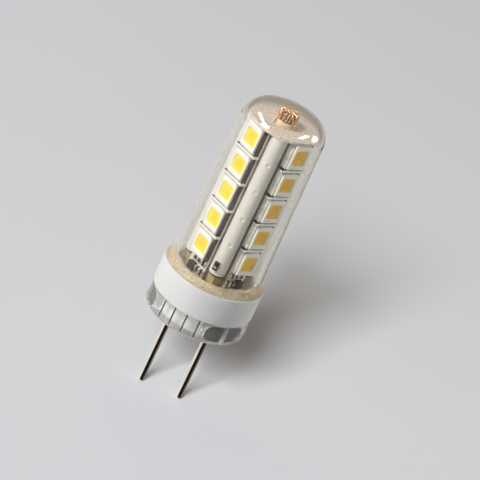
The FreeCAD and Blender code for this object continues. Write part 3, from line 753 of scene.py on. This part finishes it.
def well_reach(angle):
    """How far the foot block and the boards reach from the axis in a direction."""
    reach = 0.0
    for index in range(4):
        sideways, outward = face_frame(index)
        ray = Vector(around(1.0, angle))
        out, across = ray.dot(outward), abs(ray.dot(sideways))
        if out <= 1e-6:
            continue
        if out >= across:
            reach = max(reach, CORE_HALF / out)
        if BOARD_FACE * across / out < BOARD_HALF:
            reach = max(reach, BOARD_FACE / out)
        elif across > 1e-6 and BOARD_HALF * out / across > CORE_HALF:
            reach = max(reach, BOARD_HALF / across)
    return reach + FOOT_GAP


def wall_climb(angle):
    """How far the potting climbs the cover's wall: unevenly, and most at the left and right."""
    sides = 0.8 * math.cos(angle) ** 4
    return 1.0 + sides + 0.5 * wander(angle, 9.0, 2.2) + 0.25 * wander(angle, 5.0, 9.0)


def potting_shape():
    shape = bmesh.new()
    angles = [2 * math.pi * k / POTTING_SEGMENTS for k in range(POTTING_SEGMENTS)]

    def ring_of(places):
        return [
            shape.verts.new(around(radius, angle, height)) for angle, (radius, height) in zip(angles, places)
        ]

    def surface(angle, share):
        inner = well_reach(angle)
        outer = cover_radius(POTTING_HIGH.z) - COVER_WALL + WETTED
        radius = inner + (outer - inner) * share
        at_wall = max(LEAST_CLIMB, wall_climb(angle)) * math.exp(-(outer - radius) / WALL_FADE)
        creep = POTTING_DIP * math.exp(-share / FOOT_FADE) + at_wall
        ripple = RIPPLE * noise.noise(Vector(around(radius, angle, 0.7)) * 0.9)
        height = POTTING_HIGH.z - POTTING_DIP + creep + ripple
        radius -= (cover_radius(POTTING_HIGH.z) - cover_radius(height)) * share
        return radius, height

    rings = [ring_of([surface(angle, share) for angle in angles]) for share in POTTING_ROWS]
    low_outer = cover_radius(POTTING_LOW.z) - COVER_WALL + WETTED
    rings.append(ring_of([(low_outer, POTTING_LOW.z)] * POTTING_SEGMENTS))
    rings.append(ring_of([(well_reach(angle), POTTING_LOW.z) for angle in angles]))
    skin_rings(shape, rings, True)
    return shape


shaped("potting_cast", potting_shape(), 50, POTTING_PALE, "cream_compound", "potting")


# Pins: straight wire with a rounded tip, stepped inside the base
PIN_RADIUS = 0.5
TIP_RADIUS = 0.34
STEP_RADIUS = 0.7
TAIL_RADIUS = 0.3


def pin_piece(name, node):
    low, high = corners(node)
    middle = ((low.x + high.x) / 2, 0.0)
    tip = arc_points((PIN_RADIUS - TIP_RADIUS, PIN_LOW.z + TIP_RADIUS), TIP_RADIUS, -90.0, 0.0, 8)
    profile = [(0.0, PIN_LOW.z)] + tip
    profile += [(PIN_RADIUS, PIN_LOW.z * share) for share in (0.94, 0.8, 0.6, 0.4, 0.2, 0.05, 0.0)]
    profile += [
        (STEP_RADIUS, 0.0), (STEP_RADIUS, CARRIER_HIGH.z), (TAIL_RADIUS, CARRIER_HIGH.z),
        (TAIL_RADIUS, PIN_HIGH.z), (0.0, PIN_HIGH.z),
    ]
    shape = turned_shape(profile, segments=48, centre=middle, close=False)
    return shaped(name, shape, 50, NICKEL, "pin_metal", node)


pin_piece("pin_wire_left", "contact_pin_left")
pin_piece("pin_wire_right", "contact_pin_right")


# Column: the section swept upward, with a shallow dimple on each post between the LEDs
POST_STEPS = 64
DIMPLE_REACH = 0.36
DIMPLE_SLOPE = 0.16
DIMPLE_DEPTH = 0.13
DIMPLE_ROW = 0.06
END_ROW = 0.1


def column_outline():
    """Points round the column's section, each with its distance from the middle line of its post."""
    middle = POST_AT / math.sqrt(2)
    wall = math.sqrt(POST_RADIUS ** 2 - (SLOT_HALF - middle) ** 2)
    start = math.atan2(wall, SLOT_HALF - middle)
    end = math.atan2(SLOT_HALF - middle, wall)
    points = []
    for index in range(4):
        sideways, outward = face_frame(index)
        for across in (-SLOT_HALF, SLOT_HALF):
            points.append((sideways * across + outward * CORE_HALF, None, None))
        centre = (sideways + outward) * middle
        for k in range(POST_STEPS + 1):
            angle = start + (end - start) * k / POST_STEPS
            ray = sideways * math.cos(angle) + outward * math.sin(angle)
            points.append((centre + ray * POST_RADIUS, (angle - math.pi / 4) * POST_RADIUS, ray))
    return points


def column_shape():
    shape = bmesh.new()
    dimples = [LED_FIRST + LED_PITCH * (n + 0.5) for n in range(LED_COUNT - 1)]
    heights = {COLUMN_LOW.z, COLUMN_LOW.z + END_ROW, COLUMN_HIGH.z - END_ROW, COLUMN_HIGH.z}
    for level in dimples:
        heights.update(level + DIMPLE_ROW * row for row in range(-8, 9))
    outline = column_outline()
    rings = []
    for height in sorted(heights):
        ring = []
        for point, side, ray in outline:
            place = Vector(point)
            if side is not None:
                near = min(math.hypot(side, height - level) for level in dimples)
                if near < DIMPLE_REACH:
                    place -= ray * DIMPLE_DEPTH * min(1.0, (DIMPLE_REACH - near) / DIMPLE_SLOPE)
            ring.append(shape.verts.new((place.x, place.y, height)))
        rings.append(ring)
    bore = [point.normalized() * CORE_BORE for point, side, ray in outline]
    for height in (COLUMN_HIGH.z, COLUMN_LOW.z):
        rings.append([shape.verts.new((place.x, place.y, height)) for place in bore])
    skin_rings(shape, rings, True)
    return shape


shaped("column_posts", column_shape(), 40, COLUMN_WHITE, "column_white", "column_core")


# Boards, LED packages, rails and clips: the CAD forms with their corners eased
def outward_face(index):
    """Picks the second material for the faces that look out of a board."""
    outward = face_frame(index)[1]
    return lambda face: 1 if face.normal.dot(outward) > 0.9 else 0


def left_strip_painted_reflection(index):
    """Picks the second material, a pale painted reflection, for the strip on a board's left; the right strip keeps
    the dark painted shade.
    """
    sideways = face_frame(index)[0]
    return lambda face: 1 if face.calc_center_median().dot(sideways) < 0.0 else 0


for index, face in enumerate(FACES):
    softened(
        "board_" + face, "led_board_" + face, 0.05, BOARD_METAL, BOARD_MASK,
        pick=outward_face(index), slot="board_metal",
    )
    for n in range(1, LED_COUNT + 1):
        softened("package_%s_%d" % (face, n), "led_%s_%d" % (face, n), 0.07, PACKAGE_WHITE, slot="led_white")
    # each board's strips: painted dark shade on the right, a painted pale reflection on the left
    softened(
        "strips_" + face, "rails_" + face, 0.04, RAIL_PAINTED_SHADE, RAIL_PAINTED_REFLECTION, pick=left_strip_painted_reflection(index), slot="rail_metal",
    )
for level in range(1, LED_COUNT):
    softened("staples_%d" % level, "board_clips_%d" % level, 0.06, CLIP_PLASTIC, slot="clip_plastic")


# Phosphor: each fill is drawn up a little at the walls of its well
WELL_SIDE = 0.3
WELL_END = 0.75
WELL_CUT = 0.22
WELL_PLAY = 0.005
FILL_SAG = 0.05


def phosphor_shape(index):
    shape = bmesh.new()
    rim = shape.verts.layers.float.new("rim")
    across, along, cut = LED_HALF - WELL_SIDE - WELL_PLAY, LED_LENGTH / 2 - WELL_END - WELL_PLAY, WELL_CUT
    loop = [
        (across, -along + cut), (across, along - cut), (across - cut, along), (-across + cut, along),
        (-across, along - cut), (-across, -along + cut), (-across + cut, -along), (across - cut, -along),
    ]
    outline = []
    for here, after in zip(loop, loop[1:] + loop[:1]):
        outline += line_points(here, after, 5)
    for n in range(LED_COUNT):
        level = LED_FIRST + LED_PITCH * n
        rings = []
        for share in (1.0, 0.96, 0.88, 0.75, 0.55, 0.3):
            out = LED_FACE - PHOSPHOR_RECESS - FILL_SAG * (1 - share ** 6)
            ring = []
            for x, z in outline:
                vert = shape.verts.new(on_face(index, x * share, out, level + z * share))
                vert[rim] = share
                ring.append(vert)
            rings.append(ring)
        rings.append([shape.verts.new(on_face(index, 0.0, LED_FACE - PHOSPHOR_RECESS - FILL_SAG, level))])
        under = [shape.verts.new(on_face(index, x, LED_FACE - WELL_DEPTH, level + z)) for x, z in outline]
        for vert in under:
            vert[rim] = 1.0
        bottom = shape.verts.new(on_face(index, 0.0, LED_FACE - WELL_DEPTH, level))
        skin_rings(shape, [[bottom], under] + rings, False)
    return shape


for index, face in enumerate(FACES):
    # the front-left and back-right faces take the phosphor painted as lit, the other two the phosphor painted in
    # shade
    skin = PHOSPHOR_LEMON_PAINTED_LIT if index % 2 else PHOSPHOR_AMBER_PAINTED_SHADE
    shaped("phosphor_fill_" + face, phosphor_shape(index), 50, skin, "phosphor", "phosphor_" + face)

# solder tabs at both ends of every LED
TAB_SIZE = (0.8, 0.3, 0.22)
tabs = []
for index in range(4):
    for n in range(LED_COUNT):
        for end in (-1, 1):
            for side in (-1, 1):
                level = LED_FIRST + LED_PITCH * n + end * (LED_LENGTH / 2 + 0.04)
                tabs.append(on_board(index, (side * 0.75, BOARD_FACE + 0.12, level), TAB_SIZE))
soldered_blocks("led_solder_tabs", tabs, SOLDER, "rail_metal")

# dark blocks at the clips' left ends, each with two dots of solder
DARK_BLOCK_AT = -1.75
DARK_BLOCK_SIZE = (0.75, 1.0, 0.62)
DOT_SIZE = (0.2, 0.9, 0.3)
dark_blocks = []
dots = []
for index in range(4):
    for n in range(LED_COUNT - 1):
        level = LED_FIRST + LED_PITCH * (n + 0.5)
        dark_blocks.append(on_board(index, (DARK_BLOCK_AT, BOARD_FACE + 0.5, level), DARK_BLOCK_SIZE))
        for side in (-1, 1):
            middle = (DARK_BLOCK_AT + side * 0.36, BOARD_FACE + 0.55, level + 0.1 * side)
            dots.append(on_board(index, middle, DOT_SIZE))
soldered_blocks("clip_end_blocks", dark_blocks, CHIP_BLACK, "black_chip", 0.8)
soldered_blocks("bridge_solder", dots, SOLDER, "rail_metal")

# Top plate, coil seat and the coil
softened("plate_disc", "top_plate", 0.1, PLATE_BEIGE, slot="top_laminate", steps=3)
softened("seat_boss", "coil_seat", 0.08, SEAT_CREAM, slot="seat_cream")
softened("coil_ring", "coil_core", 0.12, FERRITE, slot="ferrite", steps=3)

COIL_MIDDLE = 0.95
COIL_WIRE = 0.1
COIL_TURNS = 16
TURN_POINTS = 14
LEAD_WIRE = 0.08
LEAD_DOT = (0.5, 0.45, 0.26)


def curve_through(name, points, cyclic):
    """A smooth curve through points in millimetres."""
    curve = bpy.data.curves.new(name, "CURVE")
    curve.dimensions = "3D"
    spline = curve.splines.new("NURBS")
    spline.points.add(len(points) - 1)
    for item, point in zip(spline.points, points):
        item.co = (point[0] * MM, point[1] * MM, point[2] * MM, 1.0)
    spline.order_u = 3
    spline.use_cyclic_u = cyclic
    spline.use_endpoint_u = not cyclic
    spline.resolution_u = 4
    return curve


def winding_points():
    """Points round the ring and round the axis, each turn laid a little differently."""
    half_width = (CORE_HIGH.x - CORE_LOW.x) / 2 - COIL_MIDDLE + COIL_WIRE
    half_height = (CORE_HIGH.z - CORE_LOW.z) / 2 + COIL_WIRE
    height = (CORE_HIGH.z + CORE_LOW.z) / 2
    points = []
    for k in range(COIL_TURNS * TURN_POINTS):
        turn = k / TURN_POINTS
        loose = 1.0 + 0.3 * abs(noise.noise(Vector((turn * 1.7, 0.3, 5.1))))
        angle = 2 * math.pi * turn / COIL_TURNS + 0.2 * noise.noise(Vector((turn * 2.3, 4.0, 0.2)))
        section = 2 * math.pi * turn
        across = math.copysign(abs(math.cos(section)) ** 0.5, math.cos(section)) * half_width
        up = math.copysign(abs(math.sin(section)) ** 0.5, math.sin(section)) * half_height
        out = COIL_MIDDLE + across * (loose if across > 0 else 1.0)
        points.append(around(out, angle, height + up * (loose if up > 0 else 1.0)))
    return points


def wire_piece(name, points, cyclic, radius, sides):
    path = curve_through(name + "_path", points, cyclic)
    return grown(name, path, WIRE, WIRE_SOCKETS, {"Wire Radius": radius * MM, "Sides": sides}, COPPER)


settle(wire_piece("copper_winding", winding_points(), True, COIL_WIRE, 10), "copper", "coil_winding")

# the coil's two leads run to dots of solder on the plate
lead_dots = []
for name, angle, reach in (("lead_left", 212.0, 1.85), ("lead_right", 301.0, 1.8)):
    ray = Vector(around(1.0, math.radians(angle)))
    side = Vector((-ray.y, ray.x, 0.0))
    middle = (CORE_HIGH.z + CORE_LOW.z) / 2
    # stops of the wire: outward, aside and up
    stops = [
        (1.2, -0.1, middle + 0.45), (1.5, 0.0, middle + 0.4), (1.62, 0.12, middle - 0.1),
        (1.7, 0.1, PLATE_HIGH.z + 0.35), (reach, 0.0, PLATE_HIGH.z + LEAD_WIRE),
    ]
    points = [ray * out + side * aside + Vector((0.0, 0.0, height)) for out, aside, height in stops]
    settle(wire_piece(name, points, False, LEAD_WIRE, 8), "copper")
    lead_dots.append((angle, ray * reach + Vector((0.0, 0.0, PLATE_HIGH.z + LEAD_WIRE)), LEAD_DOT))
soldered_blocks("lead_solder", lead_dots, SOLDER, "rail_metal", 0.1)

# Foot block, carrier, base cup and driver board
softened("foot_moulding", "foot_block", 0.12, TAN_MOULDING, slot="tan_plastic", steps=3)
# the black sheet between the foot block and the column is painted shadow, a dark line where the joint is in shade
softened("foot_sheet_painted_shadow", "foot_pad", 0.03, CHIP_BLACK, slot="black_chip")

CUP_BORE = 6.6
GROOVE_FLOOR = 7.6


def is_lug_painted_shade(face):
    """Picks the second material, a grey of painted shade, for the lugs that fill the base's windows."""
    return 1 if face.calc_center_median().xy.length > CUP_BORE else 0


def is_groove_painted_shade(face):
    """Picks the second material, a darker painted shade, for the walls and floors of the grip grooves."""
    middle = face.calc_center_median()
    near = GROOVE_FLOOR - 0.05 < middle.xy.length < COLLAR_HIGH.x - 0.06
    return 1 if near and abs(face.normal.z) < 0.3 and middle.z > 0.6 else 0


softened("carrier_disc", "pin_carrier", 0.1, CARRIER_PALE, CARRIER_PAINTED_SHADE, pick=is_lug_painted_shade, slot="grey_plastic")
softened("base_shell", "base_cup", 0.04, CLEAR_BASE, GROOVE_PAINTED_SHADE, pick=is_groove_painted_shade, slot="frosted_plastic")
nodes["driver_board"].data.materials.clear()
nodes["driver_board"].data.materials.append(LAMINATE.material)

# Surface-mount parts and their metal ends
for name, node, reach, skin, slot in (
    ("diode_bodies", "rectifier_diodes", 0.08, CHIP_BLACK, "black_chip"),
    ("resistors_left", "chip_resistors_left", 0.05, CHIP_DARK, "dark_chip"),
    ("resistors_right", "chip_resistors_right", 0.05, CHIP_DARK, "dark_chip"),
    ("ceramic_chips", "chip_capacitors", 0.06, CHIP_TAN, "tan_chip"),
    ("driver_body", "driver_chip", 0.09, CHIP_BLACK, "black_chip"),
    ("post_chip_body", "post_chip", 0.07, CHIP_BLACK, "black_chip"),
):
    softened(name, node, reach, skin, slot=slot)

RESISTOR_HALF = 0.475
LOW_ROW = RESISTOR_LOW.z + RESISTOR_HALF
HIGH_ROW = RESISTOR_HIGH.z - RESISTOR_HALF
DIODE_AT = -0.57
DIODE_END = (0.26, 0.4, 0.8)
RESISTORS = ((-0.57, HIGH_ROW), (0.35, HIGH_ROW), (1.27, HIGH_ROW), (0.59, LOW_ROW), (1.51, LOW_ROW))
RESISTOR_END = (0.2, 0.42, 1.0)
CHIP_LEG = (0.3, 0.2, 0.24)
ends = []
for index, hand in ((FACES.index("front_left"), 1), (FACES.index("front_right"), -1)):
    for side in (-1, 1):
        ends.append(on_board(index, (hand * DIODE_AT + side * 0.62, BOARD_FACE + 0.2, LOW_ROW), DIODE_END))
    for middle, level in RESISTORS:
        for side in (-1, 1):
            ends.append(on_board(index, (hand * middle + side * 0.33, BOARD_FACE + 0.19, level), RESISTOR_END))
for n in range(4):
    for side in (-1, 1):
        place = (-0.475 + side * 1.25, BOARD_FACE + 0.12, POTTING_HIGH.z + 0.32 + 0.5 * n)
        ends.append(on_board(FACES.index("back_right"), place, CHIP_LEG))
soldered_blocks("part_ends", ends, SOLDER, "rail_metal")

# the gold end of the chip on the front post
CHIP_LOW = corners("post_chip")[0]
CHIP_TURN = COLUMN_TURN - 24.0
front_post = Matrix.Rotation(math.radians(COLUMN_TURN), 3, "Z") @ Vector((0.0, -POST_AT, 0.0))
chip_face = Matrix.Rotation(math.radians(CHIP_TURN), 3, "Z") @ Vector((0.0, -POST_RADIUS - 0.3, 0.0))
gold = [(CHIP_TURN, front_post + chip_face + Vector((0.0, 0.0, CHIP_LOW.z + 0.5)), (0.56, 0.28, 0.34))]
soldered_blocks("post_chip_end", gold, GOLD_END, "rail_metal", 0.6)

# Floor, world, lamps and camera
FLOOR = moulding(
    "floor paper", (230, 233, 238), (228, 231, 236), (0.7, 0.85), mottle=8.0, grain=900.0, depth=0.0,
)
FLOOR_REACH = 3.0
floor_mesh = bpy.data.meshes.new("floor")
floor_mesh.from_pydata(
    [(x * FLOOR_REACH, y * FLOOR_REACH, PIN_LOW.z * MM) for x, y in ((-1, -1), (1, -1), (1, 1), (-1, 1))],
    [], [(0, 1, 2, 3)],
)
floor = new_piece("floor", floor_mesh, FLOOR)
floor.visible_glossy = False

world = bpy.data.worlds.new("studio")
scene.world = world
world.use_nodes = True
tree = world.node_tree
studio = tree.nodes
sky = studio["Background"]
join = tree.links.new
aim = studio.new("ShaderNodeTexCoord")


def toward(way):
    """How far a ray of the studio goes the given way."""
    item = studio.new("ShaderNodeVectorMath")
    item.operation = "DOT_PRODUCT"
    item.inputs[1].default_value = way
    join(aim.outputs["Generated"], item.inputs[0])
    return item.outputs["Value"]


def smooth_step(value, low, high, start, end):
    """A strength that goes from start to end between two values."""
    item = studio.new("ShaderNodeMapRange")
    item.interpolation_type = "SMOOTHSTEP"
    set_inputs(item, {"From Min": low, "From Max": high, "To Min": start, "To Max": end})
    join(value, item.inputs["Value"])
    return item.outputs["Result"]


# gloss sees the studio's lower half in place of the floor: lit at the left, dim in front
TO_BACK = (-0.32, 0.9, 0.3)
TO_RIGHT = (1.0, 0.0, 0.0)
TO_FRONT = (0.34, -0.94, 0.0)
DOWN = (0.0, 0.0, -1.0)
above = smooth_step(toward(TO_BACK), -0.15, 0.95, 0.065, 0.37)
side = smooth_step(toward(TO_RIGHT), -0.4, 0.4, 1.0, 0.24)
below = mixed(tree, "FLOAT", smooth_step(toward(TO_FRONT), 0.36, 0.6, 0.0, 1.0), side, 0.01)
low = smooth_step(toward(DOWN), 0.05, 0.25, 0.0, 1.0)
join(mixed(tree, "FLOAT", low, above, below), sky.inputs["Strength"])
shade = studio.new("ShaderNodeValToRGB")
shade.color_ramp.elements[0].color = (0.96, 0.98, 1.0, 1.0)
shade.color_ramp.elements[1].color = (1.0, 0.84, 0.7, 1.0)
shade.color_ramp.elements[1].position = 0.4
join(mixed(tree, "FLOAT", low, above, 0.15), shade.inputs["Fac"])
join(shade.outputs["Color"], sky.inputs["Color"])


def soft_lamp(name, bearing, rise, distance, width, height, power, glint=False):
    """A soft box turned to the bulb, its bearing in degrees from front to right. A glint shows in gloss alone."""
    heart = Vector((0.0, 0.0, 14.0))
    flat = math.cos(math.radians(rise))
    ray = Vector((
        flat * math.sin(math.radians(bearing)), -flat * math.cos(math.radians(bearing)), math.sin(math.radians(rise)),
    ))
    lamp = bpy.data.lights.new(name, "AREA")
    lamp.shape = "RECTANGLE"
    lamp.size = width * MM
    lamp.size_y = height * MM
    lamp.energy = power
    item = placed(name, lamp)
    item.location = (heart + ray * distance) * MM
    item.rotation_euler = (-ray).to_track_quat("-Z", "Y").to_euler()
    item.visible_diffuse = not glint
    return item


def floor_link(lamp, state):
    """The floor alone is lit by the lamp, or alone left out."""
    linked = bpy.data.collections.new(lamp.name + "_floor")
    linked.objects.link(floor)
    linked.collection_objects[0].light_linking.link_state = state
    lamp.light_linking.receiver_collection = linked


# the photo's floor leans, so the bulb and the level floor have a key each
key = soft_lamp("key", bearing=-52.0, rise=36.0, distance=1500.0, width=460.0, height=460.0, power=21.5)
floor_link(key, "EXCLUDE")
fill = soft_lamp("right_fill", bearing=124.0, rise=22.0, distance=900.0, width=300.0, height=300.0, power=4.0)
fill.visible_glossy = False
floor_link(fill, "EXCLUDE")
floor_key = soft_lamp(
    "floor_key", bearing=-15.0, rise=32.0, distance=3000.0, width=820.0, height=820.0, power=108.0,
)
floor_link(floor_key, "INCLUDE")
soft_lamp("left_glint", bearing=-90.0, rise=45.0, distance=600.0, width=360.0, height=110.0, power=1.5, glint=True)
soft_lamp("right_glint", bearing=90.0, rise=48.0, distance=600.0, width=300.0, height=90.0, power=0.9, glint=True)

# camera: the bulb stands on its pins, the picture leans, so the camera is rolled
ELEVATION = math.radians(24.5)
ROLL = math.radians(25.5)
DISTANCE = 460.0
target = Vector((1.38, 0.0, 14.7))
forward = Vector((0.0, math.cos(ELEVATION), -math.sin(ELEVATION)))
right = Vector((math.cos(ROLL), math.sin(ELEVATION) * math.sin(ROLL), math.cos(ELEVATION) * math.sin(ROLL)))
up = Vector((-math.sin(ROLL), math.sin(ELEVATION) * math.cos(ROLL), math.cos(ELEVATION) * math.cos(ROLL)))
camera_data = bpy.data.cameras.new("camera")
camera_data.sensor_width = 36.0
camera_data.lens = 232.0
camera_data.clip_start = 0.01
camera = placed("camera", camera_data)
turn = Matrix((right, up, -forward)).transposed()
camera.matrix_world = Matrix.Translation((target - forward * DISTANCE) * MM) @ turn.to_4x4()
scene.camera = camera
